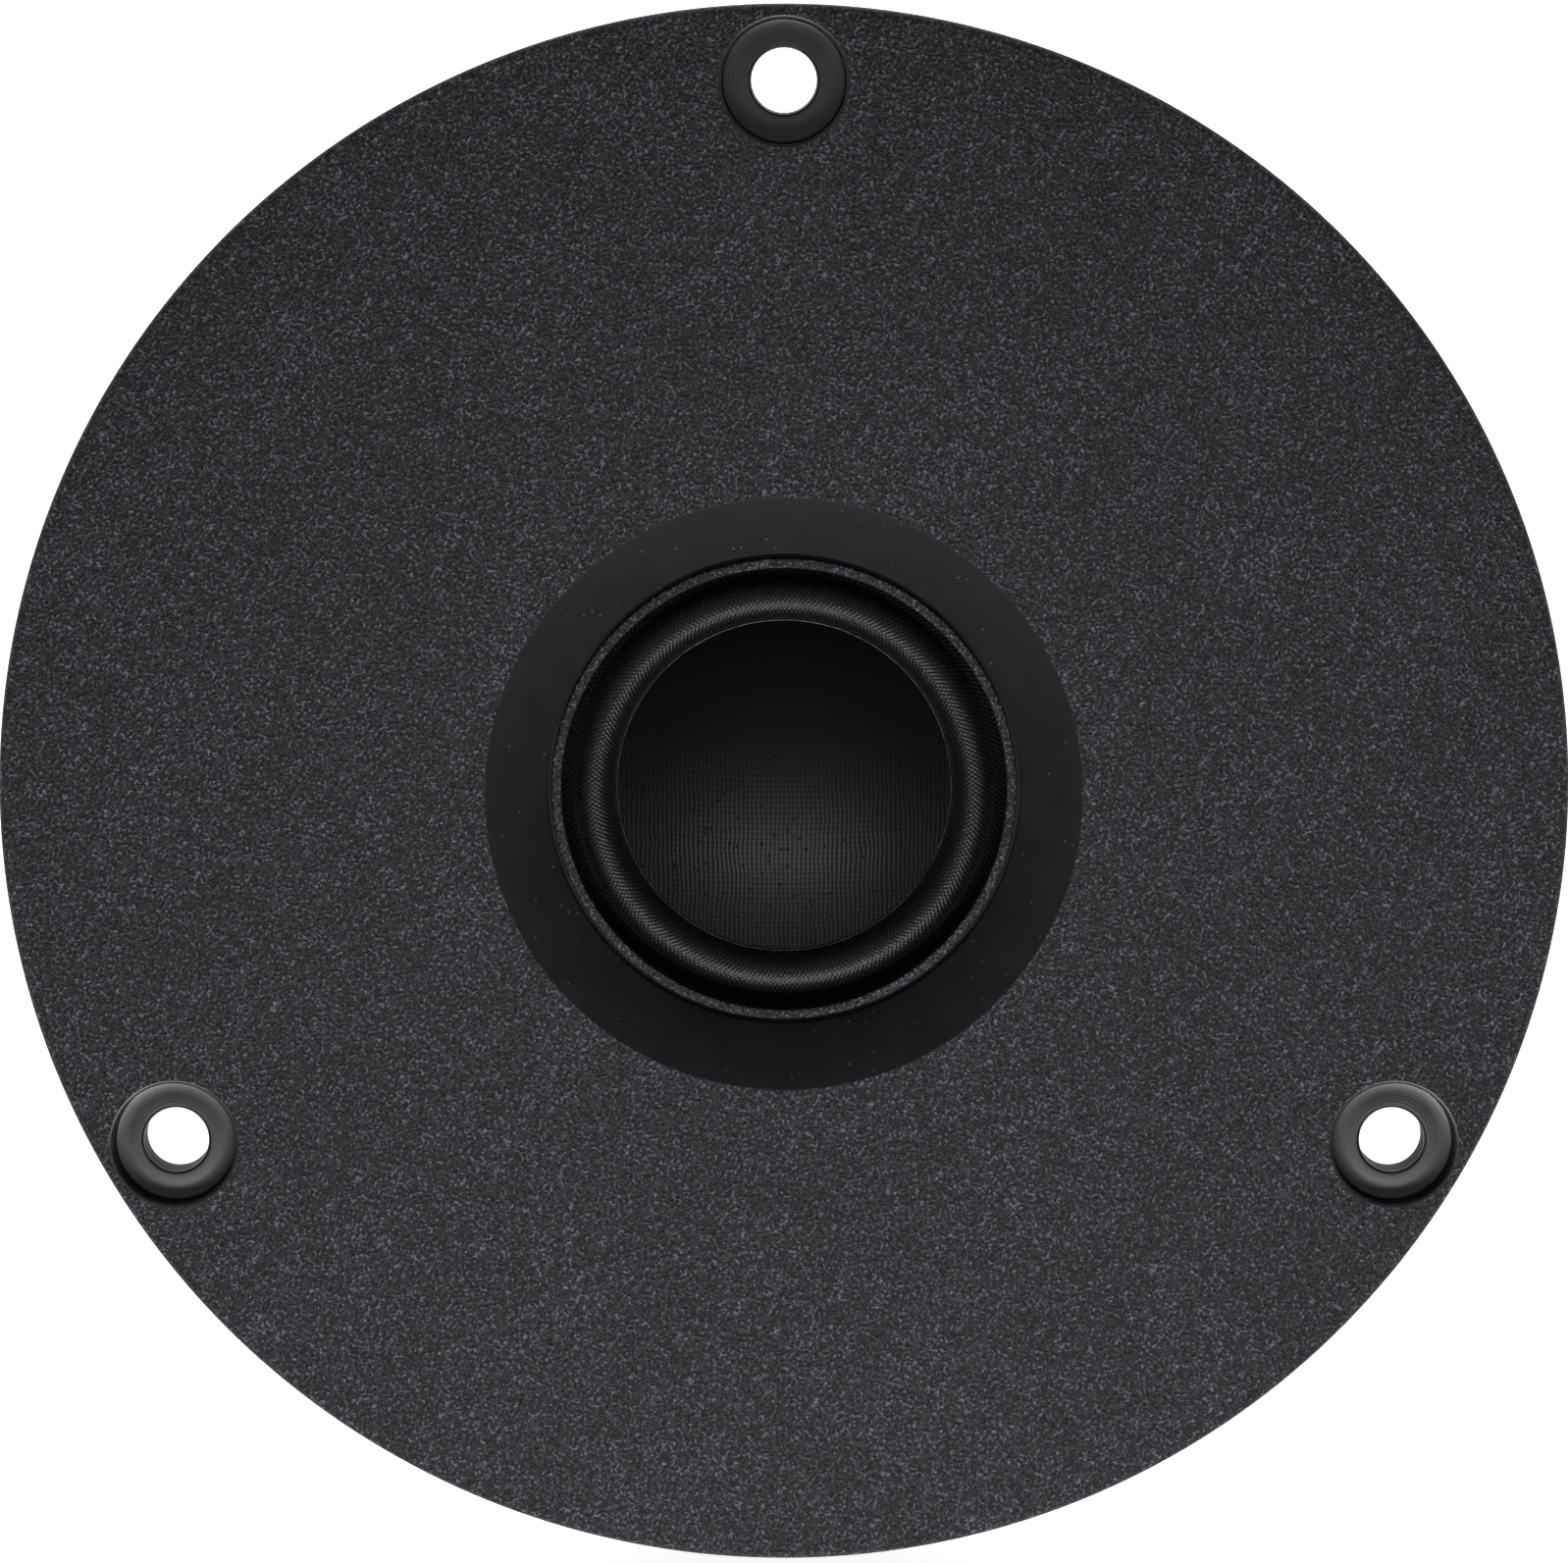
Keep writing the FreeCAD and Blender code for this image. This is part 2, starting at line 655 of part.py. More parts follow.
def terminal(name, side, width):
    """A push-on tab: a foot flat on the board, and a blade that stands up from the foot's far end."""
    body = new_body(name)
    near, far = f"{side}foot_start", f"{side}(blade_offset + tab_thick)"
    low, high = (near, far) if side == "" else (far, near)
    blade_left, blade_right = f"-tab_line - {width} / 2", f"-tab_line + {width} / 2"
    tip = f"{BOARD_REAR} + tab_height"

    def foot(sketch):
        add_rectangle(sketch, "-tab_line - foot_width / 2", "-tab_line + foot_width / 2", low, high)
        add_circle(sketch, "-tab_line", f"{side}rivet_offset", "rivet_dia + 2 * fit_gap")
        add_circle(sketch, "-tab_line", f"{side}lead_offset", "lead_hole_dia")

    extrude(body, f"{name}_foot", foot, BOARD_REAR, FOOT_REAR)
    blade_start = "blade_offset" if side == "" else "-(blade_offset + tab_thick)"
    sketch = new_sketch(body, f"{name}_blade_outline", "XY_Plane", blade_start)
    add_outline(sketch, [
        (blade_left, BOARD_REAR),
        (blade_right, BOARD_REAR),
        (blade_right, f"{tip} - tab_tip"),
        (f"{blade_right} - tab_tip / 2", tip),
        (f"{blade_left} + tab_tip / 2", tip),
        (blade_left, f"{tip} - tab_tip"),
    ])
    add_circle(sketch, "-tab_line", f"{tip} - tab_height / 3", "tab_hole_dia")
    doc.recompute()
    blade = body.newObject("PartDesign::Pad", f"{name}_blade")
    blade.Profile = sketch
    bind(blade, "Length", "tab_thick")
    doc.recompute()


def terminal_rivets():
    body = new_body("terminal_rivets")
    body.AllowCompound = True
    shank = "-tab_line + rivet_dia / 2"
    head = "-tab_line + rivet_head_dia / 2"
    tail = "rim_height - rivet_tail"
    for name, offset, seat in (("positive_rivet", "rivet_offset", f"{FOOT_REAR} + washer_thick"),
                               ("negative_rivet", "-rivet_offset", FOOT_REAR)):
        crown = f"{seat} + rivet_head_height"
        revolve(body, name, [
            ("-tab_line", tail),
            (head, tail),
            (head, "rim_height"),
            (shank, "rim_height"),
            (shank, seat),
            (head, seat),
            (f"{head} - rivet_head_height", crown, "rivet_head_height"),
            ("-tab_line", crown),
        ], axis=[("-tab_line", "0"), ("-tab_line", "1")], offset=offset)


def polarity_washer():
    def outline(sketch):
        add_circle(sketch, "-tab_line", "rivet_offset", "washer_dia")
        add_circle(sketch, "-tab_line", "rivet_offset", "rivet_dia + 2 * fit_gap")

    extrude(new_body("polarity_washer"), "washer", outline, FOOT_REAR, f"{FOOT_REAR} + washer_thick")


def solder_joints():
    body = new_body("solder_joints")
    body.AllowCompound = True
    radius = "((solder_dia / 2)^2 + solder_height^2) / (2 * solder_height)"
    for name, offset in (("positive_joint", "lead_offset"), ("negative_joint", "-lead_offset")):
        revolve(body, name, [
            ("-tab_line", FOOT_REAR),
            ("-tab_line + solder_dia / 2", FOOT_REAR),
            ("-tab_line", f"{FOOT_REAR} + solder_height", radius),
        ], axis=[("-tab_line", "0"), ("-tab_line", "1")], offset=offset)


def coil_lead(name, side):
    """A flexible lead: out from the former under the surround, then back through the board to its tab."""
    body = new_body(name)
    path = new_sketch(body, f"{name}_path", "XY_Plane", f"{side}lead_offset")
    bend_start = "-tab_line + lead_bend"
    bend_end = "lead_line + lead_bend"
    spots = [(value(across), value(up)) for across, up in (
        ("-lead_start", "lead_line"), (bend_start, "lead_line"),
        ("-tab_line", bend_end), ("-tab_line", FOOT_REAR))]
    points = [Vector(across, up, 0) for across, up in spots]
    run = path.addGeometry(Part.LineSegment(points[0], points[1]))
    bend = path.addGeometry(arc_between(points[1], points[2], -value("lead_bend")))
    rise = path.addGeometry(Part.LineSegment(points[2], points[3]))
    fix_point(path, run, 1, "-lead_start", "lead_line")
    fix_point(path, run, 2, bend_start, "lead_line")
    fix_point(path, rise, 1, "-tab_line", bend_end)
    fix_point(path, rise, 2, "-tab_line", FOOT_REAR)
    path.addConstraint(Sketcher.Constraint("Coincident", run, 2, bend, 2))
    path.addConstraint(Sketcher.Constraint("Coincident", bend, 1, rise, 1))
    size = path.addConstraint(Sketcher.Constraint("Radius", bend, value("lead_bend")))
    bind(path, f"Constraints[{size}]", "lead_bend")
    section = new_sketch(body, f"{name}_section", "YZ_Plane", "-lead_start")
    add_circle(section, "lead_line", f"{side}lead_offset", "lead_dia")
    doc.recompute()
    pipe = body.newObject("PartDesign::AdditivePipe", f"{name}_wire")
    pipe.Profile = section
    pipe.Spine = path
    doc.recompute()


faceplate()
ring("mounting_gasket", "gasket_inner_dia", "gasket_outer_dia", "-gasket_thick", "0")
dome()
surround()
voice_coil()
coil_lead("coil_lead_positive", "")
coil_lead("coil_lead_negative", "-")
diaphragm_ring()
locating_pins()
top_plate()
magnet()
back_plate()
pole_piece()
copper_cap()
felts()
motor_screws()
terminal_board()
terminal_screw()
terminal("terminal_positive", "", "positive_width")
terminal("terminal_negative", "-", "negative_width")
terminal_rivets()
polarity_washer()
solder_joints()
ring("rear_label", "label_inner_dia", "label_outer_dia", MOTOR_REAR, f"{MOTOR_REAR} + label_thick")
doc.recompute()

for item in doc.Objects:
    bad = {"Invalid", "Error"} & set(item.State)
    if bad:
        raise RuntimeError(f"{item.Name} is {', '.join(sorted(bad))}")
for part in parts:
    if part.Shape.isNull() or not part.Shape.isValid():
        raise RuntimeError(f"{part.Label} has no valid shape")

os.makedirs("parts", exist_ok=True)
for part in parts:
    part.Shape.exportStep(f"parts/{part.Label}.step")
    print(f"{part.Label}: {len(part.Shape.Solids)} solid(s), {part.Shape.Volume:.1f} mm3")
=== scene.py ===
import math

import bpy
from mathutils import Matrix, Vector
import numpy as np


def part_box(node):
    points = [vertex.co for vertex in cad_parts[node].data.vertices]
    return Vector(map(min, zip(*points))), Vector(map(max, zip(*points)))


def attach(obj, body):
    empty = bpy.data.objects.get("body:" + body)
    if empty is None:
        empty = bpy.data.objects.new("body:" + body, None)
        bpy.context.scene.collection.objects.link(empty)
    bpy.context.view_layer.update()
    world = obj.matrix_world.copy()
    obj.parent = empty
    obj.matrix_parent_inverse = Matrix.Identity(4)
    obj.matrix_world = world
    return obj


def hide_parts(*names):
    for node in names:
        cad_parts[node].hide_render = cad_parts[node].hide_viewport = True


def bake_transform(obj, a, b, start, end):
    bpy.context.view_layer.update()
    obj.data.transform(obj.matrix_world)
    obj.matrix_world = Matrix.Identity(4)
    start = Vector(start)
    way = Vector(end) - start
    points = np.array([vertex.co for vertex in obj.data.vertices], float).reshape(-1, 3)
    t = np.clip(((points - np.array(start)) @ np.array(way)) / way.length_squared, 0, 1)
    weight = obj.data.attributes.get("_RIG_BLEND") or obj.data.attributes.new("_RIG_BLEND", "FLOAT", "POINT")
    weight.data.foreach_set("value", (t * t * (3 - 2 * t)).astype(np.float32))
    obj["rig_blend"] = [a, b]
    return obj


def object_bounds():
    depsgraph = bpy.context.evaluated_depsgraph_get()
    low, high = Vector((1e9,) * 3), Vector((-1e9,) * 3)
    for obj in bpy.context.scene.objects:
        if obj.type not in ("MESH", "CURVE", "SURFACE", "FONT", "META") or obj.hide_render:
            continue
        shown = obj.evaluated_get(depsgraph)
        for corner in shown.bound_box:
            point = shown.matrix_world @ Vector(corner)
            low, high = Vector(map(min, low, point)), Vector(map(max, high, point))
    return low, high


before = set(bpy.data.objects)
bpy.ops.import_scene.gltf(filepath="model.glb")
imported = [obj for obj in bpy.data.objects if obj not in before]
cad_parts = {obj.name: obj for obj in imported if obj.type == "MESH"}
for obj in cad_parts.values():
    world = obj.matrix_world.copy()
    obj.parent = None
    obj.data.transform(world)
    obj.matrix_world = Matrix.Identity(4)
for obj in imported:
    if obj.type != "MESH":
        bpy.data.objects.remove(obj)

mm = 0.001
cadLow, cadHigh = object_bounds()
print("frame loaded:", len(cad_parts), "CAD nodes")


def deselectAll():
    for item in bpy.context.selected_objects[:]:
        item.select_set(False)
    bpy.context.view_layer.objects.active = None


def takeUp(piece):
    deselectAll()
    piece.select_set(True)
    bpy.context.view_layer.objects.active = piece


def nameIt(piece, name):
    piece.name = name
    piece.data.name = name
    return piece


def addAndApply(piece, kind, **settings):
    takeUp(piece)
    modifier = piece.modifiers.new(kind.title(), kind)
    for key, setting in settings.items():
        setattr(modifier, key, setting)
    bpy.ops.object.modifier_apply(modifier=modifier.name)


def arc(centre, radius, start, stop, count):
    # points of an arc in the (radius, y) plane, angles in degrees
    turns = [math.radians(start + (stop - start) * i / count) for i in range(count + 1)]
    return [(centre[0] + radius * math.cos(t), centre[1] + radius * math.sin(t)) for t in turns]


def spinOutline(name, outline, steps=192):
    # the outline is drawn in mm as (radius, y) and spun round the Y axis
    deselectAll()
    bpy.ops.mesh.primitive_plane_add(size=mm, location=(0, 0, 0))
    piece = nameIt(bpy.context.object, name)
    bpy.ops.object.mode_set(mode="EDIT")
    bpy.ops.mesh.select_all(action="SELECT")
    bpy.ops.mesh.merge(type="CENTER")
    bpy.ops.transform.translate(value=(outline[0][0] * mm, outline[0][1] * mm, 0))
    for before, after in zip(outline, outline[1:]):
        step = ((after[0] - before[0]) * mm, (after[1] - before[1]) * mm, 0)
        bpy.ops.mesh.extrude_vertices_move(TRANSFORM_OT_translate={"value": step})
    bpy.ops.mesh.select_all(action="SELECT")
    bpy.ops.mesh.spin(steps=steps, angle=2 * math.pi, center=(0, 0, 0), axis=(0, 1, 0))
    bpy.ops.mesh.select_all(action="SELECT")
    bpy.ops.mesh.remove_doubles(threshold=0.002 * mm)
    bpy.ops.mesh.normals_make_consistent(inside=False)
    bpy.ops.object.mode_set(mode="OBJECT")
    return piece


def placeIt(piece, offset=(0, 0, 0), turn=0):
    # moves a piece in mm and turns it round the Y axis, then puts the place into its mesh
    takeUp(piece)
    bpy.ops.transform.translate(value=[part * mm for part in offset])
    if turn:
        bpy.ops.transform.rotate(value=math.radians(turn), orient_axis="Y", center_override=(0, 0, 0))
    bpy.ops.object.transform_apply(location=True, rotation=True, scale=True)
    return piece


def copyOf(piece, name):
    twin = piece.copy()
    twin.data = piece.data.copy()
    bpy.context.collection.objects.link(twin)
    return nameIt(twin, name)


def block(name, low, high, edge=0.0):
    # a block between two corners in mm, its edges rounded
    deselectAll()
    middle = [(a + b) / 2 * mm for a, b in zip(low, high)]
    bpy.ops.mesh.primitive_cube_add(size=1, location=middle)
    piece = nameIt(bpy.context.object, name)
    bpy.ops.transform.resize(value=[(b - a) * mm for a, b in zip(low, high)])
    bpy.ops.object.transform_apply(location=True, rotation=True, scale=True)
    if edge:
        addAndApply(piece, "BEVEL", width=edge * mm, segments=2)
    return piece


def joinUp(pieces, name):
    deselectAll()
    for item in pieces:
        item.select_set(True)
    bpy.context.view_layer.objects.active = pieces[0]
    bpy.ops.object.join()
    return nameIt(bpy.context.object, name)


def combine(piece, other, operation):
    addAndApply(piece, "BOOLEAN", operation=operation, object=other, solver="MANIFOLD")
    bpy.data.objects.remove(other)


def smoothIt(piece, angle=32):
    takeUp(piece)
    bpy.ops.object.shade_smooth_by_angle(angle=math.radians(angle))


def finishWith(piece, *finishes):
    piece.data.materials.clear()
    for finish in finishes:
        piece.data.materials.append(finish)


def toLinear(colour):
    channels = [int(colour[i:i + 2], 16) / 255 for i in (0, 2, 4)]
    return tuple(c / 12.92 if c <= 0.04045 else ((c + 0.055) / 1.055) ** 2.4 for c in channels) + (1.0,)


def addNode(tree, kind, inputs, stops=(), **settings):
    # stops are the (position, colour) pairs of a colour ramp
    node = tree.nodes.new(kind)
    for _ in stops[2:]:
        node.color_ramp.elements.new(1.0)
    for step, (position, colour) in enumerate(stops):
        node.color_ramp.elements[step].position = position
        node.color_ramp.elements[step].color = toLinear(colour)
    for key, setting in settings.items():
        setattr(node, key, setting)
    for socket, given in inputs.items():
        if isinstance(given, bpy.types.NodeSocket):
            tree.links.new(given, node.inputs[socket])
        else:
            node.inputs[socket].default_value = given
    return node


def startFinish(name, **sockets):
    finish = bpy.data.materials.new(name)
    finish.use_nodes = True
    tree = finish.node_tree
    shader = tree.nodes["Principled BSDF"]
    for socket, given in sockets.items():
        shader.inputs[socket.replace("_", " ")].default_value = given
    place = addNode(tree, "ShaderNodeTexCoord", {}).outputs["Object"]
    return finish, tree, shader, place


holeCircle = 47
holeCentres = [
    (holeCircle * math.cos(math.radians(a)), holeCircle * math.sin(math.radians(a))) for a in (90, 210, 330)]


def grainedPlastic():
    # black ABS from a spark-eroded mould: dark satin grey, crowded fine grain with tops painted pale as
    # glints
    finish, tree, shader, place = startFinish("grainedBlackAbs", IOR=1.5, Specular_IOR_Level=0.3)
    turned = addNode(tree, "ShaderNodeMapping", {"Vector": place, "Rotation": (0.6, 0.9, 0.5)}).outputs[0]
    fine = addNode(tree, "ShaderNodeTexNoise", {
        "Vector": turned, "Scale": 1 / (0.21 * mm), "Detail": 2.0, "Roughness": 0.6}).outputs[0]
    coarse = addNode(tree, "ShaderNodeTexNoise", {
        "Vector": turned, "Scale": 1 / (0.9 * mm), "Detail": 2.0, "Distortion": 0.8}).outputs[0]
    blotch = addNode(tree, "ShaderNodeTexNoise", {
        "Vector": turned, "Scale": 1 / (9 * mm), "Detail": 3.0}).outputs[0]
    height = addNode(tree, "ShaderNodeMath", {
        0: coarse, 1: 0.15, 2: fine}, operation="MULTIPLY_ADD").outputs[0]
    tone = addNode(tree, "ShaderNodeMath", {
        0: blotch, 1: 0.06, 2: height}, operation="MULTIPLY_ADD").outputs[0]
    # painted glints: the highest grain is painted pale grey, standing in for light caught by the grain's
    # tops
    colour = addNode(tree, "ShaderNodeValToRGB", {0: tone}, stops=(
        (0.44, "101012"), (0.59, "202024"), (0.7, "36363d"), (0.8, "6e6e77"))).outputs[0]
    rough = addNode(tree, "ShaderNodeMapRange", {
        "Value": height, "From Min": 0.42, "From Max": 0.8, "To Min": 0.62, "To Max": 0.42}).outputs[0]
    bump = addNode(tree, "ShaderNodeBump", {"Strength": 1.0, "Distance": 0.2 * mm, "Height": height})
    tree.links.new(colour, shader.inputs["Base Color"])
    tree.links.new(rough, shader.inputs["Roughness"])
    tree.links.new(bump.outputs[0], shader.inputs["Normal"])
    return finish


def satinPlastic():
    # black ABS from a polished mould: even and darker than the grain, with faint flow marks and, in the
    # recess, a few pale flecks
    finish, tree, shader, place = startFinish("satinBlackAbs", IOR=1.45, Specular_IOR_Level=0.16)
    flow = addNode(tree, "ShaderNodeTexNoise", {
        "Vector": place, "Scale": 1 / (2.5 * mm), "Detail": 4.0, "Distortion": 0.6}).outputs[0]
    fine = addNode(tree, "ShaderNodeTexNoise", {
        "Vector": place, "Scale": 1 / (0.12 * mm), "Detail": 1.0}).outputs[0]
    cells = addNode(tree, "ShaderNodeTexVoronoi", {"Vector": place, "Scale": 1 / (0.55 * mm)})
    lot = addNode(tree, "ShaderNodeSeparateColor", {0: cells.outputs["Color"]}).outputs[0]
    lot = addNode(tree, "ShaderNodeMath", {0: lot, 1: 0.84}, operation="GREATER_THAN").outputs[0]
    depth = addNode(tree, "ShaderNodeSeparateXYZ", {0: place}).outputs[1]
    front = addNode(tree, "ShaderNodeMath", {0: depth, 1: -1 * mm}, operation="LESS_THAN").outputs[0]
    lot = addNode(tree, "ShaderNodeMath", {0: lot, 1: front}, operation="MULTIPLY").outputs[0]
    speck = addNode(tree, "ShaderNodeMapRange", {
        "Value": cells.outputs["Distance"], "From Min": 0.1, "From Max": 0.22, "To Min": 0.5, "To Max": 0.0})
    speck = addNode(tree, "ShaderNodeMath", {0: speck.outputs[0], 1: lot}, operation="MULTIPLY").outputs[0]
    tone = addNode(tree, "ShaderNodeMath", {0: flow, 1: 0.5, 2: speck}, operation="MULTIPLY_ADD").outputs[0]
    colour = addNode(tree, "ShaderNodeValToRGB", {0: tone}, stops=(
        (0.15, "222225"), (0.4, "27272b"), (0.85, "5a5a61"))).outputs[0]
    rough = addNode(tree, "ShaderNodeMapRange", {
        "Value": flow, "From Min": 0.3, "From Max": 0.7, "To Min": 0.5, "To Max": 0.6}).outputs[0]
    bump = addNode(tree, "ShaderNodeBump", {"Strength": 0.3, "Distance": 0.006 * mm, "Height": fine})
    tree.links.new(colour, shader.inputs["Base Color"])
    tree.links.new(rough, shader.inputs["Roughness"])
    tree.links.new(bump.outputs[0], shader.inputs["Normal"])
    return finish


def seatPlastic():
    # black ABS under a screw head: smooth satin, with faint round scuffs left by turned screws
    finish, tree, shader, place = startFinish("scuffedBlackAbs", IOR=1.53, Specular_IOR_Level=0.5)
    nearest = None
    for x, z in holeCentres:
        shifted = addNode(tree, "ShaderNodeMapping", {
            "Vector": place, "Location": (-x * mm, 0, -z * mm), "Scale": (1, 0, 1)}).outputs[0]
        length = addNode(tree, "ShaderNodeVectorMath", {0: shifted}, operation="LENGTH").outputs["Value"]
        if nearest is None:
            nearest = length
        else:
            nearest = addNode(tree, "ShaderNodeMath", {
                0: nearest, 1: length}, operation="MINIMUM").outputs[0]
    patch = addNode(tree, "ShaderNodeTexNoise", {
        "Vector": place, "Scale": 1 / (1.6 * mm), "Detail": 2.0}).outputs[0]
    wander = addNode(tree, "ShaderNodeMath", {
        0: patch, 1: 0.35 * mm, 2: nearest}, operation="MULTIPLY_ADD").outputs[0]
    turned = addNode(tree, "ShaderNodeMath", {
        0: wander, 1: 2 * math.pi / (0.24 * mm)}, operation="MULTIPLY")
    turned = addNode(tree, "ShaderNodeMath", {0: turned.outputs[0]}, operation="SINE").outputs[0]
    turned = addNode(tree, "ShaderNodeMapRange", {
        "Value": turned, "From Min": 0.2, "From Max": 1.0, "To Min": 0.0, "To Max": 1.0}).outputs[0]
    worn = addNode(tree, "ShaderNodeMapRange", {
        "Value": patch, "From Min": 0.42, "From Max": 0.62, "To Min": 0.0, "To Max": 1.0}).outputs[0]
    scuff = addNode(tree, "ShaderNodeMath", {0: turned, 1: worn}, operation="MULTIPLY").outputs[0]
    colour = addNode(tree, "ShaderNodeValToRGB", {
        0: scuff}, stops=((0.0, "1f1f22"), (1.0, "303035"))).outputs[0]
    rough = addNode(tree, "ShaderNodeMapRange", {
        "Value": scuff, "From Min": 0.0, "From Max": 1.0, "To Min": 0.36, "To Max": 0.46}).outputs[0]
    bump = addNode(tree, "ShaderNodeBump", {"Strength": 0.4, "Distance": 0.005 * mm, "Height": scuff})
    tree.links.new(colour, shader.inputs["Base Color"])
    tree.links.new(rough, shader.inputs["Roughness"])
    tree.links.new(bump.outputs[0], shader.inputs["Normal"])
    return finish


def domeFabric():
    # woven silk with a damping coat: near black, upright threads, pinholes where the coat is thin
    finish, tree, shader, place = startFinish(
        "coatedWovenSilk", IOR=1.5, Specular_IOR_Level=0.15, Sheen_Weight=0.03, Sheen_Roughness=0.5)
    sway = addNode(tree, "ShaderNodeTexNoise", {
        "Vector": place, "Scale": 1 / (3.0 * mm), "Detail": 2.0}).outputs[0]
    axes = addNode(tree, "ShaderNodeSeparateXYZ", {0: place})
    across = addNode(tree, "ShaderNodeMath", {
        0: sway, 1: 0.5 * mm, 2: axes.outputs[0]}, operation="MULTIPLY_ADD").outputs[0]
    warp = addNode(tree, "ShaderNodeMath", {
        0: across, 1: 2 * math.pi / (0.3 * mm)}, operation="MULTIPLY").outputs[0]
    warp = addNode(tree, "ShaderNodeMath", {0: warp}, operation="SINE").outputs[0]
    weft = addNode(tree, "ShaderNodeMath", {
        0: axes.outputs[2], 1: 2 * math.pi / (0.36 * mm)}, operation="MULTIPLY").outputs[0]
    weft = addNode(tree, "ShaderNodeMath", {0: weft}, operation="SINE").outputs[0]
    weave = addNode(tree, "ShaderNodeMath", {
        0: weft, 1: 0.35, 2: warp}, operation="MULTIPLY_ADD").outputs[0]
    weave = addNode(tree, "ShaderNodeMapRange", {
        "Value": weave, "From Min": -1.3, "From Max": 1.3}).outputs[0]
    # painted highlight: the threads show up to four times stronger lower down, where the light falls
    shown = addNode(tree, "ShaderNodeMapRange", {
        "Value": axes.outputs[2], "From Min": 5 * mm, "From Max": -4 * mm,
        "To Min": 0.25, "To Max": 1.0}).outputs[0]
    weave = addNode(tree, "ShaderNodeMath", {0: weave, 1: shown}, operation="MULTIPLY").outputs[0]
    seen = addNode(tree, "ShaderNodeMapping", {"Vector": place, "Scale": (1, 0, 1)}).outputs[0]
    cells = addNode(tree, "ShaderNodeTexVoronoi", {
        "Vector": seen, "Scale": 1 / (0.42 * mm), "Randomness": 0.6})
    lot = addNode(tree, "ShaderNodeSeparateColor", {0: cells.outputs["Color"]}).outputs[0]
    lean = addNode(tree, "ShaderNodeMath", {
        0: axes.outputs[0], 1: axes.outputs[2]}, operation="ADD").outputs[0]
    bare = addNode(tree, "ShaderNodeMapRange", {
        "Value": lean, "From Min": -13 * mm, "From Max": 4 * mm, "To Min": 0.45, "To Max": 0.96}).outputs[0]
    missed = addNode(tree, "ShaderNodeMath", {0: lot, 1: bare}, operation="GREATER_THAN").outputs[0]
    pin = addNode(tree, "ShaderNodeMapRange", {
        "Value": cells.outputs["Distance"], "From Min": 0.2, "From Max": 0.34, "To Min": 1.0, "To Max": 0.0})
    pin = addNode(tree, "ShaderNodeMath", {0: pin.outputs[0], 1: missed}, operation="MULTIPLY").outputs[0]
    tone = addNode(tree, "ShaderNodeMath", {0: pin, 1: -0.8, 2: weave}, operation="MULTIPLY_ADD").outputs[0]
    colour = addNode(tree, "ShaderNodeValToRGB", {0: tone}, stops=(
        (0.0, "040405"), (0.3, "0c0c0f"), (1.0, "242429"))).outputs[0]
    rough = addNode(tree, "ShaderNodeMapRange", {
        "Value": tone, "From Min": 0.0, "From Max": 1.0, "To Min": 0.62, "To Max": 0.4}).outputs[0]
    height = addNode(tree, "ShaderNodeMath", {
        0: pin, 1: -0.9, 2: weave}, operation="MULTIPLY_ADD").outputs[0]
    bump = addNode(tree, "ShaderNodeBump", {"Strength": 0.8, "Distance": 0.04 * mm, "Height": height})
    tree.links.new(colour, shader.inputs["Base Color"])
    tree.links.new(rough, shader.inputs["Roughness"])
    tree.links.new(bump.outputs[0], shader.inputs["Normal"])
    return finish


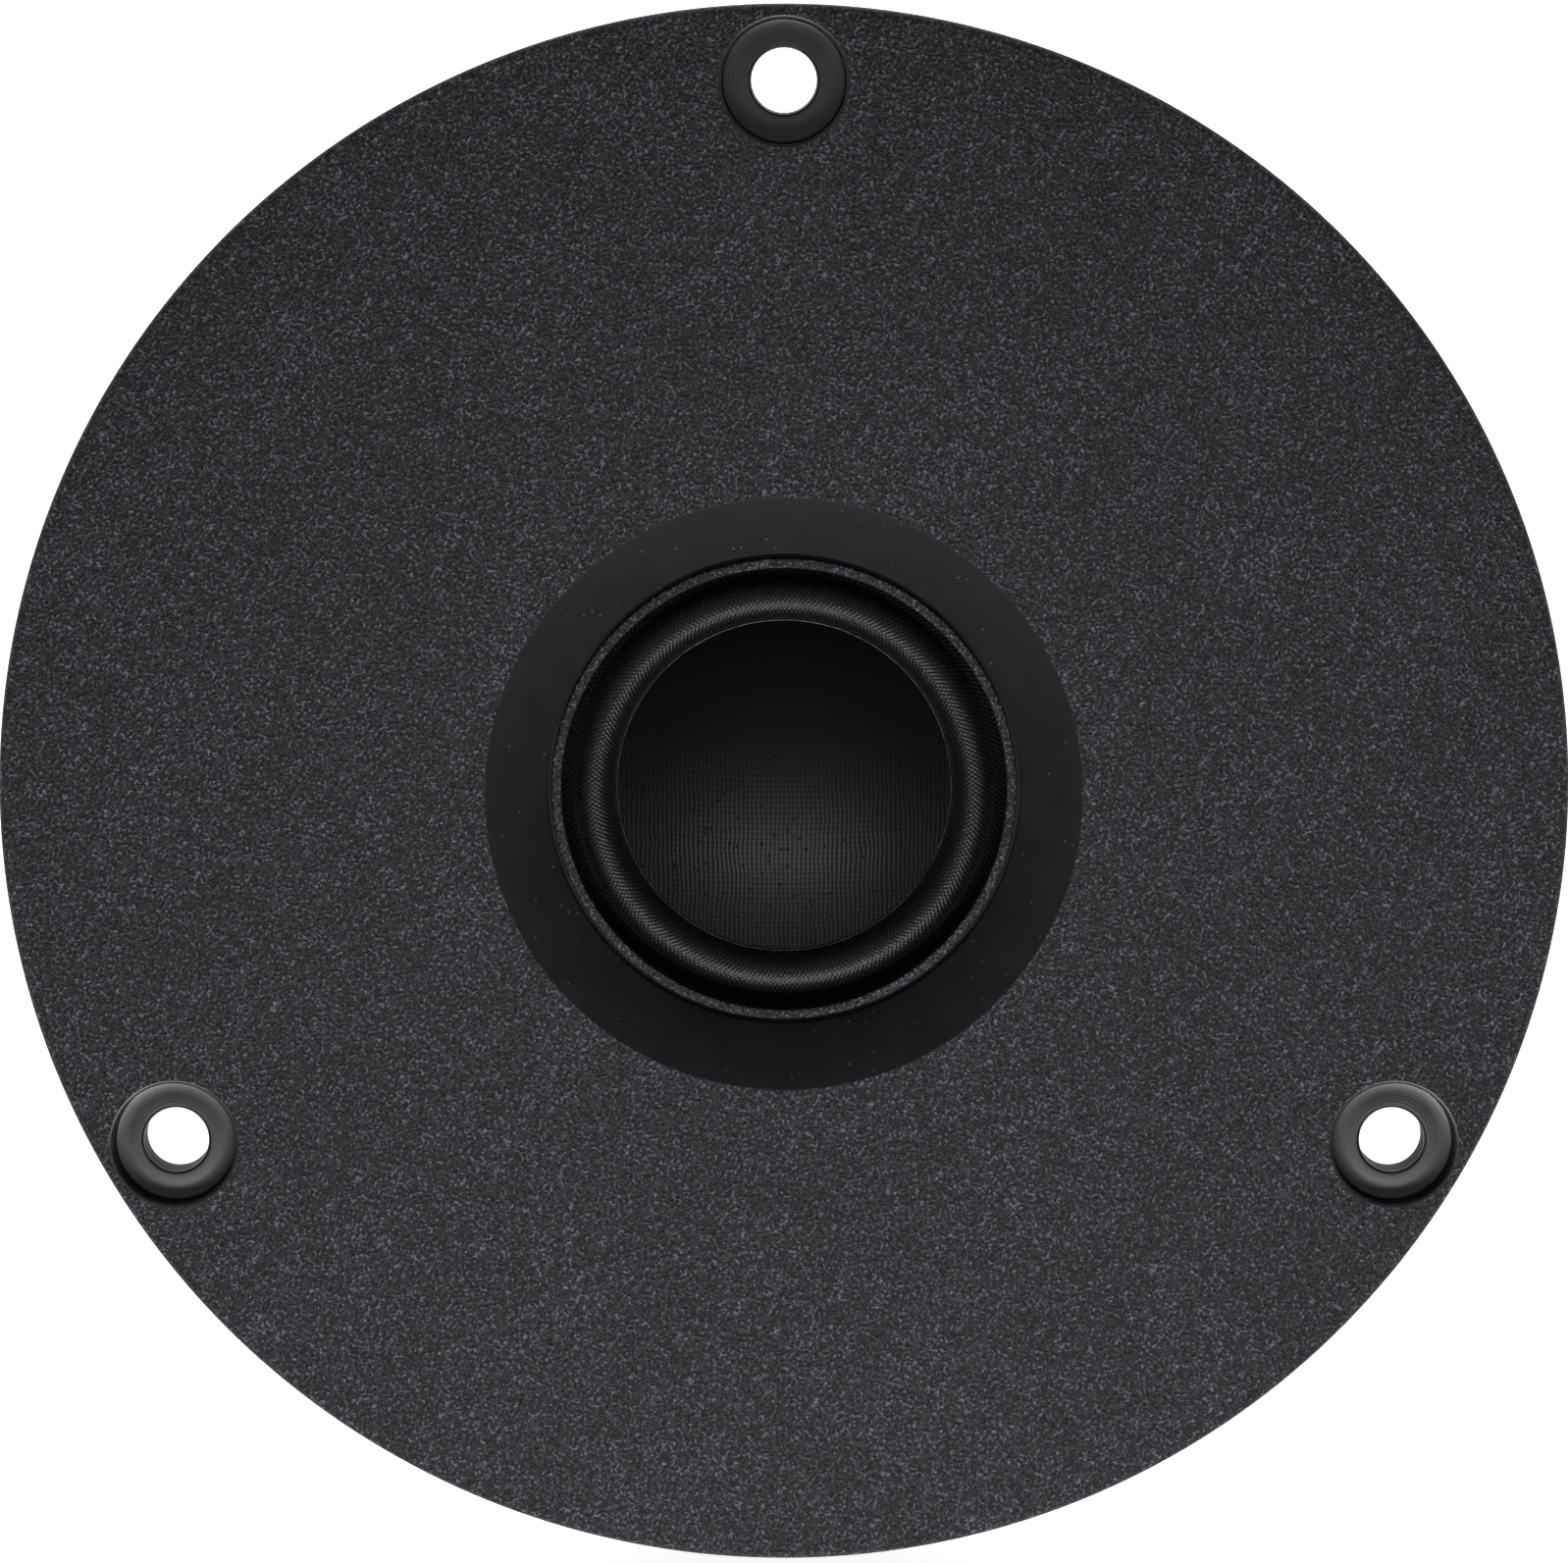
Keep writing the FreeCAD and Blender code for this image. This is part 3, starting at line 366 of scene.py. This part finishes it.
def rollFabric():
    # the same silk drawn over the roll: near black flanks, slanting threads that sparkle along the crest
    finish, tree, shader, place = startFinish(
        "coatedWovenSilkRoll", IOR=1.5, Sheen_Weight=0.03, Sheen_Roughness=0.5)
    axes = addNode(tree, "ShaderNodeSeparateXYZ", {0: place})
    angle = addNode(tree, "ShaderNodeMath", {
        0: axes.outputs[2], 1: axes.outputs[0]}, operation="ARCTAN2").outputs[0]
    flat = addNode(tree, "ShaderNodeMapping", {"Vector": place, "Scale": (1, 0, 1)}).outputs[0]
    reach = addNode(tree, "ShaderNodeVectorMath", {0: flat}, operation="LENGTH").outputs["Value"]
    spokes = addNode(tree, "ShaderNodeMath", {0: angle, 1: 260.0}, operation="MULTIPLY").outputs[0]
    slant = addNode(tree, "ShaderNodeMath", {
        0: reach, 1: 2 * math.pi / (0.42 * mm), 2: spokes}, operation="MULTIPLY_ADD").outputs[0]
    warp = addNode(tree, "ShaderNodeMath", {0: slant}, operation="SINE").outputs[0]
    slant = addNode(tree, "ShaderNodeMath", {
        0: reach, 1: -2 * math.pi / (0.42 * mm), 2: spokes}, operation="MULTIPLY_ADD").outputs[0]
    weft = addNode(tree, "ShaderNodeMath", {0: slant}, operation="SINE").outputs[0]
    speck = addNode(tree, "ShaderNodeTexNoise", {
        "Vector": place, "Scale": 1 / (0.24 * mm), "Detail": 2.0}).outputs[0]
    weave = addNode(tree, "ShaderNodeMath", {0: weft, 1: 0.6, 2: warp}, operation="MULTIPLY_ADD").outputs[0]
    weave = addNode(tree, "ShaderNodeMath", {
        0: speck, 1: 4.5, 2: weave}, operation="MULTIPLY_ADD").outputs[0]
    weave = addNode(tree, "ShaderNodeMapRange", {
        "Value": weave, "From Min": 0.6, "From Max": 4.0}).outputs[0]
    colour = addNode(tree, "ShaderNodeValToRGB", {0: weave}, stops=(
        (0.0, "020203"), (0.5, "060607"), (1.0, "1c1c20"))).outputs[0]
    # painted shade: the flat rim past the roll loses its gloss, so it reads dark as the shade between roll
    # and lip
    rimShadeGloss = addNode(tree, "ShaderNodeMapRange", {
        "Value": reach, "From Min": 13.5 * mm, "From Max": 14.0 * mm,
        "To Min": 0.27, "To Max": 0.02}).outputs[0]
    tree.links.new(rimShadeGloss, shader.inputs["Specular IOR Level"])
    bump = addNode(tree, "ShaderNodeBump", {"Strength": 0.7, "Distance": 0.04 * mm, "Height": weave})
    rough = addNode(tree, "ShaderNodeMapRange", {"Value": weave, "To Min": 0.46, "To Max": 0.28}).outputs[0]
    tree.links.new(colour, shader.inputs["Base Color"])
    tree.links.new(rough, shader.inputs["Roughness"])
    tree.links.new(bump.outputs[0], shader.inputs["Normal"])
    return finish


def surfaceOf(name, darkest, lightest, roughness, grainSize, depth, stretch=(1, 1, 1), **sockets):
    # a surface whose tone, gloss and relief all follow one grain; sizes in mm
    finish, tree, shader, place = startFinish(name, **sockets)
    lined = addNode(tree, "ShaderNodeMapping", {"Vector": place, "Scale": stretch}).outputs[0]
    grain = addNode(tree, "ShaderNodeTexNoise", {
        "Vector": lined, "Scale": 1 / (grainSize * mm), "Detail": 4.0, "Roughness": 0.6}).outputs[0]
    cloud = addNode(tree, "ShaderNodeTexNoise", {
        "Vector": place, "Scale": 1 / (6 * mm), "Detail": 2.0}).outputs[0]
    tone = addNode(tree, "ShaderNodeMath", {0: grain, 1: 0.65}, operation="MULTIPLY").outputs[0]
    tone = addNode(tree, "ShaderNodeMath", {
        0: cloud, 1: 0.35, 2: tone}, operation="MULTIPLY_ADD").outputs[0]
    colour = addNode(tree, "ShaderNodeValToRGB", {
        0: tone}, stops=((0.32, darkest), (0.68, lightest))).outputs[0]
    rough = addNode(tree, "ShaderNodeMapRange", {
        "Value": tone, "From Min": 0.35, "From Max": 0.65,
        "To Min": roughness[0], "To Max": roughness[1]}).outputs[0]
    bump = addNode(tree, "ShaderNodeBump", {"Strength": 0.6, "Distance": depth * mm, "Height": grain})
    tree.links.new(colour, shader.inputs["Base Color"])
    tree.links.new(rough, shader.inputs["Roughness"])
    tree.links.new(bump.outputs[0], shader.inputs["Normal"])
    return finish


grained = grainedPlastic()
satin = satinPlastic()
seat = seatPlastic()
silk = domeFabric()
rollSilk = rollFabric()
# rubber glue, dried: black, with small wet-looking glints
glueFinish = surfaceOf("driedRubberGlue", "0b0b0c", "1b1b1d", (0.25, 0.45), 0.5, 0.02, IOR=1.5)
# bright zinc plate on pressed steel: pale cool grey, softly blurred reflections
zincPlate = surfaceOf("brightZincPlate", "a3a5a4", "c3c5c6", (0.28, 0.42), 0.35, 0.004, Metallic=1.0)
# ground ferrite: charcoal, matt, slightly mottled
ferrite = surfaceOf("groundFerrite", "1f2022", "38393c", (0.5, 0.7), 0.3, 0.01, IOR=2.0)
# black zinc plate on screws: near black metal with a satin gleam
blackZinc = surfaceOf("blackZincPlate", "17181a", "2d2e31", (0.3, 0.45), 0.25, 0.004, Metallic=1.0)
# bright tin plate on the tabs and rivets: warm pale silver
tinPlate = surfaceOf("brightTinPlate", "b4b5b3", "d2d2cf", (0.22, 0.36), 0.4, 0.004, Metallic=1.0)
# phenolic laminate: brown paper board, streaked along the tabs' row
laminate = surfaceOf(
    "phenolicLaminate", "5c3118", "7f4a26", (0.4, 0.55), 0.5, 0.006, (1, 1, 0.25), IOR=1.55)
# vulcanised fibre: dull red, dry
redFibre = surfaceOf("vulcanisedFibre", "8c1b12", "b02a1c", (0.5, 0.65), 0.25, 0.008, IOR=1.5)
# solder, frozen: bright grey with a slightly crazed skin
solderFinish = surfaceOf("frozenSolder", "a9aaab", "cdcecf", (0.2, 0.38), 0.6, 0.01, Metallic=1.0)
# drawn copper cap: warm pink metal, a little dull
copperFinish = surfaceOf("drawnCopper", "a9603f", "c98460", (0.25, 0.4), 0.4, 0.004, Metallic=1.0)
# braided copper lead: orange-brown strands, dark between them
braid = surfaceOf("braidedCopper", "8d4d2c", "c47f58", (0.3, 0.45), 0.12, 0.03, Metallic=1.0)
# enamelled copper wire: deep amber, glossy
wire = surfaceOf("enamelledCopper", "7d3a18", "a35427", (0.22, 0.35), 0.1, 0.02, Metallic=1.0)
# rolled aluminium foil: bright, with lines along the roll
foil = surfaceOf("rolledFoil", "b9babb", "d6d7d8", (0.25, 0.38), 0.4, 0.003, (1, 0.2, 1), Metallic=1.0)
# ground steel pins: mid grey, fine lines
groundSteel = surfaceOf(
    "groundSteel", "9a9b9b", "b8b9ba", (0.2, 0.32), 0.15, 0.003, (1, 0.15, 1), Metallic=1.0)
# moulded black ABS ring: plain satin black
ringPlastic = surfaceOf("mouldedBlackAbs", "121315", "1b1c1f", (0.45, 0.6), 0.4, 0.008, IOR=1.53)
# closed-cell foam: matt black with open pores at its cut faces
foam = surfaceOf("closedCellFoam", "101012", "29292c", (0.8, 0.95), 0.28, 0.12, IOR=1.45)
# wool felt: grey, hairy, no gloss
felt = surfaceOf("greyWoolFelt", "3a3a3c", "6a6a6c", (0.85, 0.98), 0.18, 0.1, IOR=1.45, Sheen_Weight=0.3)
# matt label film: off-white, faintly uneven
labelFilm = surfaceOf("mattLabelFilm", "c4c4bf", "d6d6d1", (0.42, 0.52), 0.7, 0.003, IOR=1.5)
print("finishes ready")


plateSizes = {
    "steps": 288,
    "radius": 52,
    "front": 4,
    "edgeRound": 0.6,
    "seatRadius": 4.1,
    "seatRound": 0.22,
    "holeRadius": 2.15,
    "ribs": 12,
    "ribEdge": 0.25,
    "bossCircle": 34,
}
bossTurns = (0, 120, 240)


def makeFacePlate():
    edgeRound, outer, front = plateSizes["edgeRound"], plateSizes["radius"], plateSizes["front"]
    outline = (
        [(14.85, 1.0)] + arc((15.0, -1.05), 0.15, 180, 270, 4) + arc((15.35, -1.05), 0.15, 270, 360, 4)
        + [(15.5, -0.78), (15.56, -0.7), (15.74, -0.7), (15.8, -0.78), (15.8, -1.13), (15.88, -1.25)]
        + arc((19.9, -3.7), 0.3, 233.8, 270, 4)
        + arc((outer - edgeRound, edgeRound - front), edgeRound, 270, 360, 7)
        + [(outer, -0.3), (outer - 0.3, 0)]
        + [(44.13, 0), (44.13, -0.8), (40.67, -0.8), (40.67, 0), (39.5, 0), (39.5, 5.35), (39.25, 5.6)]
        + [(38.25, 5.6), (38.0, 5.35), (38.0, 0.4), (37.6, 0), (21.9, 0), (21.5, 0.4), (21.5, 3.0)]
        + [(21.3, 3.2), (20.0, 3.2), (20.0, 1.0), (14.85, 1.0)]
    )
    plate = spinOutline("facePlate", outline, plateSizes["steps"])

    ribs = [block("rib", (20.6, -0.5, -0.6), (38.4, 3.2, 0.6), plateSizes["ribEdge"])]
    for turn in range(1, plateSizes["ribs"]):
        ribs.append(placeIt(copyOf(ribs[0], "rib"), turn=turn * 360 / plateSizes["ribs"]))
    ribs = placeIt(joinUp(ribs, "ribs"), turn=180 / plateSizes["ribs"])
    combine(plate, ribs, "UNION")

    boss = spinOutline("boss", [(0, -0.5), (3.6, -0.5), (3.6, 2.95), (3.35, 3.2), (0, 3.2)], 48)
    bossPlace = (plateSizes["bossCircle"], 0, 0)
    bosses = [placeIt(copyOf(boss, "boss"), bossPlace, turn) for turn in bossTurns]
    bpy.data.objects.remove(boss)
    bosses.append(block("pad", (-38.75, -0.5, -12.5), (-32.4, 5.6, 12.5), 0.3))
    combine(plate, joinUp(bosses, "bosses"), "UNION")

    seatRound = plateSizes["seatRound"]
    seatEdge = plateSizes["seatRadius"]
    hole = plateSizes["holeRadius"]
    cutter = spinOutline("screwSeat", (
        [(0, -5), (seatEdge + seatRound, -5)]
        + arc((seatEdge + seatRound, seatRound - front), seatRound, 270, 180, 4)
        + [(seatEdge, -2.55), (seatEdge - 0.12, -2.36), (seatEdge - 0.42, -2.27), (hole + 0.9, -2.31)]
        + [(hole + 0.4, -2.37), (hole + 0.2, -2.36), (hole + 0.05, -2.25), (hole, -2.1)]
        + [(hole, 1.5), (0, 1.5)]), 96)
    seats = [placeIt(copyOf(cutter, "screwSeat"), (x, 0, z)) for x, z in holeCentres]
    bpy.data.objects.remove(cutter)
    pilot = spinOutline("pilot", [(0, -1), (1.5, -1), (1.5, 3.0), (1.75, 3.4), (0, 3.4)], 32)
    seats += [placeIt(copyOf(pilot, "pilot"), bossPlace, turn) for turn in bossTurns]
    bpy.data.objects.remove(pilot)
    combine(plate, joinUp(seats, "screwSeats"), "DIFFERENCE")

    ways = [block("leadSlot", (-38, 1.6, z - 0.7), (-32.8, 6, z + 0.7)) for z in (-3.6, 3.6)]
    ways.append(block("leadNotch", (-32.8, 1.6, -4.6), (-19, 3.5, 4.6)))
    combine(plate, joinUp(ways, "leadWays"), "DIFFERENCE")

    finishWith(plate, grained, satin, seat)
    for face in plate.data.polygons:
        x, y, z = (part / mm for part in face.center)
        away = math.hypot(x, z)
        fromHole = min(math.hypot(x - a, z - b) for a, b in holeCentres)
        isSeat = 0.001 - front < y < -1.95 and hole + 0.02 < fromHole < seatEdge + seatRound
        isRecess = 15.8 < away < 19.9 and 0.02 - front < y < -1
        if isSeat:
            face.material_index = 2
        elif fromHole < hole + 0.02 or isRecess or y > -0.9 or away < 14.9:
            face.material_index = 1
    smoothIt(plate)
    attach(plate, "fixed_frame")
    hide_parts("faceplate")
    return plate


facePlate = makeFacePlate()
print("front plate:", len(facePlate.data.polygons), "faces")


domeSizes = {
    "steps": 192,
    "sphere": 16.057,
    "height": 3.6,
    "cloth": 0.25,
    "edgeRadius": 11.25,
    "skirtThick": 0.2,
    "skirtEnd": 2.2,
}


def makeDome():
    ball, edge, skirtEnd = domeSizes["sphere"], domeSizes["edgeRadius"], domeSizes["skirtEnd"]
    middle = (0, ball - domeSizes["height"])
    rim = math.degrees(math.asin(edge / ball))
    outside = arc(middle, ball, 270, 270 + rim, 44)
    inside = arc(middle, ball - domeSizes["cloth"], 270 + rim, 270, 22)
    skirtInside = edge - domeSizes["skirtThick"]
    skirt = [(edge, skirtEnd), (skirtInside, skirtEnd), (skirtInside, 1.15)]
    outline = outside + skirt + inside[1:]
    dome = spinOutline("domeCloth", outline, domeSizes["steps"])
    finishWith(dome, silk)
    smoothIt(dome, 50)
    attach(dome, "diaphragm")
    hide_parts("dome")


rollSizes = {
    "steps": 256,
    "centre": 12.7,
    "outer": 1.45,
    "inner": 1.2,
    "foot": 1.1,
    "flange": 17.0,
    "cuffEnd": 1.7,
    "bendStart": 11.5,
    "bendEnd": 14.2,
}


def makeRoll():
    centre = (rollSizes["centre"], rollSizes["foot"])
    cuff, cuffEnd = domeSizes["edgeRadius"], rollSizes["cuffEnd"]
    outline = (
        [(cuff, cuffEnd)] + arc(centre, rollSizes["outer"], 180, 356, 28)
        + [(rollSizes["flange"], 1.0), (rollSizes["flange"], 1.25)]
        + arc(centre, rollSizes["inner"], 367.2, 180, 20) + [(cuff + 0.25, cuffEnd), (cuff, cuffEnd)]
    )
    roll = spinOutline("surroundRoll", outline, rollSizes["steps"])
    finishWith(roll, rollSilk)
    smoothIt(roll, 50)
    bendStart, bendEnd = rollSizes["bendStart"], rollSizes["bendEnd"]
    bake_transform(roll, "diaphragm", "fixed_frame", start=(bendStart * mm, 0, 0), end=(bendEnd * mm, 0, 0))
    # the roll bends all round, so the share goes by distance from the axis
    share = roll.data.attributes["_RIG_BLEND"]
    for vertex, item in zip(roll.data.vertices, share.data):
        away = math.hypot(vertex.co.x, vertex.co.z) / mm
        part = min(1, max(0, (away - bendStart) / (bendEnd - bendStart)))
        item.value = part * part * (3 - 2 * part)
    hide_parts("surround")


jointGlue = {"reach": 11.19, "thick": 0.07, "depth": 0.86, "ruffle": 0.03, "steps": 288}
frontMotorGlue = {"reach": 30.0, "thick": 0.28, "depth": 6.36, "ruffle": 0.12, "steps": 240}
rearMotorGlue = {"reach": 29.1, "thick": 0.22, "depth": 18.28, "ruffle": 0.1, "steps": 240}


def runGlue(name, sizes, body):
    # an uneven run of glue all round a joint
    deselectAll()
    bpy.ops.mesh.primitive_torus_add(
        major_radius=sizes["reach"] * mm, minor_radius=sizes["thick"] * mm,
        major_segments=sizes["steps"], minor_segments=10,
        location=(0, sizes["depth"] * mm, 0), rotation=(math.pi / 2, 0, 0))
    bead = nameIt(bpy.context.object, name)
    bpy.ops.object.transform_apply(location=True, rotation=True, scale=True)
    bpy.ops.object.mode_set(mode="EDIT")
    bpy.ops.mesh.select_all(action="SELECT")
    bpy.ops.transform.vertex_random(offset=sizes["ruffle"] * mm, seed=4)
    bpy.ops.object.mode_set(mode="OBJECT")
    addAndApply(bead, "SUBSURF", levels=1, render_levels=1)
    finishWith(bead, glueFinish)
    smoothIt(bead, 80)
    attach(bead, body)


makeDome()
makeRoll()
runGlue("jointGlue", jointGlue, "diaphragm")
runGlue("frontMotorGlue", frontMotorGlue, "fixed_frame")
runGlue("rearMotorGlue", rearMotorGlue, "fixed_frame")
print("diaphragm ready")


def softDisc(name, sizes, outline, finish):
    # a cut piece of foam or felt: a ring or plug with soft edges and slightly uneven faces
    piece = spinOutline(name, outline, sizes["steps"])
    addAndApply(piece, "BEVEL", width=sizes["edge"] * mm, segments=2, limit_method="ANGLE")
    takeUp(piece)
    bpy.ops.object.mode_set(mode="EDIT")
    bpy.ops.mesh.select_all(action="SELECT")
    bpy.ops.transform.vertex_random(offset=sizes["ruffle"] * mm, seed=11)
    bpy.ops.object.mode_set(mode="OBJECT")
    finishWith(piece, finish)
    smoothIt(piece, 60)
    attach(piece, "fixed_frame")
    return piece


gasketSizes = {"steps": 288, "edge": 0.12, "ruffle": 0.03}
poleFeltSizes = {"steps": 96, "edge": 0.12, "ruffle": 0.04}
plugSizes = {"steps": 64, "edge": 0.12, "ruffle": 0.05}

foamGasket = softDisc("foamGasket", gasketSizes, [
    (40.7, 0), (40.7, -0.4), (40.7, -0.8), (41.8, -0.8), (43.0, -0.8), (44.1, -0.8),
    (44.1, -0.4), (44.1, 0), (43.2, -0.02), (42.4, -0.02), (41.6, -0.02), (40.7, 0)], foam)
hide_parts("mounting_gasket")

poleFelt = softDisc("poleFelt", poleFeltSizes, [
    (3.3, 1.65), (4.6, 1.6), (6.0, 1.6), (7.3, 1.6), (8.5, 1.65), (8.5, 2.1), (8.5, 2.6),
    (6.0, 2.6), (3.3, 2.6), (3.3, 2.1), (3.3, 1.65)], felt)
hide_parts("pole_felt")

ventPlug = softDisc("ventPlug", plugSizes, [
    (0, 16.65), (1.4, 16.65), (2.9, 16.65), (2.9, 18), (2.9, 19.4), (2.9, 20.8), (2.9, 21.5),
    (2.0, 21.5), (1.0, 21.5), (0, 21.5)], felt)
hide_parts("vent_plug")
print("soft pieces ready")


keptFinishes = {
    "top_plate": zincPlate,
    "back_plate": zincPlate,
    "pole_piece": zincPlate,
    "magnet": ferrite,
    "copper_cap": copperFinish,
    "diaphragm_ring": ringPlastic,
    "locating_pins": groundSteel,
    "voice_coil_former": foil,
    "voice_coil_winding": wire,
    "coil_lead_positive": braid,
    "coil_lead_negative": braid,
    "motor_screws": blackZinc,
    "terminal_screw": blackZinc,
    "terminal_board": laminate,
    "terminal_positive": tinPlate,
    "terminal_negative": tinPlate,
    "terminal_rivets": tinPlate,
    "polarity_washer": redFibre,
    "solder_joints": solderFinish,
    "rear_label": labelFilm,
}
for nodeName, finish in keptFinishes.items():
    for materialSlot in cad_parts[nodeName].material_slots:
        materialSlot.material = finish
print("CAD nodes finished")


studio = {
    "floor": "f5f5f4",
    "floorGlow": 0.95,
    "sky": "f4f4f5",
    "skyStrength": 1.3,
    "backdropStrength": 1.2,
    "sideStrength": 0.06,
    "frontStrength": 0.45,
    "distance": 0.4078,
    "elevation": 8.0,
    "lens": 140.8,
    "aimDepth": -2.0,
    "aimRise": 0.68,
}

deselectAll()
bpy.ops.mesh.primitive_plane_add(size=30, location=(0, 0, cadLow.z))
floor = nameIt(bpy.context.object, "studioFloor")
floorFinish, _, floorShader, _ = startFinish("paleFloor", Roughness=0.9)
floorShader.inputs["Base Color"].default_value = toLinear(studio["floor"])
floorShader.inputs["Emission Color"].default_value = toLinear(studio["floor"])
floorShader.inputs["Emission Strength"].default_value = studio["floorGlow"]
finishWith(floor, floorFinish)

# the room is pale behind the object, dark round its sides, with a soft glow straight in front
world = bpy.data.worlds.new("studioWorld")
world.use_nodes = True
sky = world.node_tree
towards = addNode(sky, "ShaderNodeTexCoord", {}).outputs["Generated"]
towards = addNode(sky, "ShaderNodeSeparateXYZ", {0: towards}).outputs[1]
glow = addNode(sky, "ShaderNodeMapRange", {
    "Value": towards, "From Min": -0.95, "From Max": -0.6,
    "To Min": studio["frontStrength"], "To Max": studio["sideStrength"]},
    interpolation_type="SMOOTHSTEP").outputs[0]
behind = addNode(sky, "ShaderNodeMapRange", {
    "Value": towards, "From Min": -0.1, "From Max": 0.15,
    "To Min": 0.0, "To Max": studio["skyStrength"]}, interpolation_type="SMOOTHSTEP").outputs[0]
strength = addNode(sky, "ShaderNodeMath", {0: glow, 1: behind}, operation="ADD").outputs[0]
room = addNode(sky, "ShaderNodeBackground", {
    "Color": toLinear(studio["sky"]), "Strength": strength}).outputs[0]
backdrop = sky.nodes["Background"]
backdrop.inputs["Color"].default_value = toLinear(studio["sky"])
backdrop.inputs["Strength"].default_value = studio["backdropStrength"]
seen = addNode(sky, "ShaderNodeLightPath", {}).outputs["Is Camera Ray"]
mixed = addNode(sky, "ShaderNodeMixShader", {0: seen, 1: room, 2: backdrop.outputs[0]}).outputs[0]
sky.links.new(mixed, sky.nodes["World Output"].inputs["Surface"])
bpy.context.scene.world = world


def addPanel(name, place, aim, size, power):
    deselectAll()
    bpy.ops.object.light_add(type="AREA", location=place)
    panel = bpy.context.object
    panel.name = name
    panel.data.shape = "RECTANGLE"
    panel.data.size, panel.data.size_y = size
    panel.data.energy = power
    panel.rotation_mode = "QUATERNION"
    panel.rotation_quaternion = (Vector(aim) - Vector(place)).to_track_quat("-Z", "Y")
    panel.visible_camera = False


# the table is clear and lit through, so the main light comes up from below and in front
floor.visible_shadow = False
floor.visible_diffuse = False
floor.visible_glossy = False
addPanel("tableLight", (0.0, -0.235, -0.18), (0, 0, -0.005), (0.26, 0.1), 0.85)

lowCorner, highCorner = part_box("faceplate")
middleX, middleZ = (lowCorner.x + highCorner.x) / 2, (lowCorner.z + highCorner.z) / 2
aimPoint = (middleX, studio["aimDepth"] * mm, middleZ + studio["aimRise"] * mm)
tilt = math.radians(studio["elevation"])
back, up = studio["distance"] * math.cos(tilt), studio["distance"] * math.sin(tilt)
bpy.ops.object.camera_add(
    location=(aimPoint[0], aimPoint[1] - back, aimPoint[2] + up), rotation=(math.pi / 2 - tilt, 0, 0))
camera = bpy.context.object
camera.name = "frontCamera"
camera.data.lens = studio["lens"]
camera.data.sensor_width = 36
camera.data.clip_start = 0.01
camera.data.dof.use_dof = False
bpy.context.scene.camera = camera
bpy.context.scene.view_settings.view_transform = "Standard"
print("studio ready")
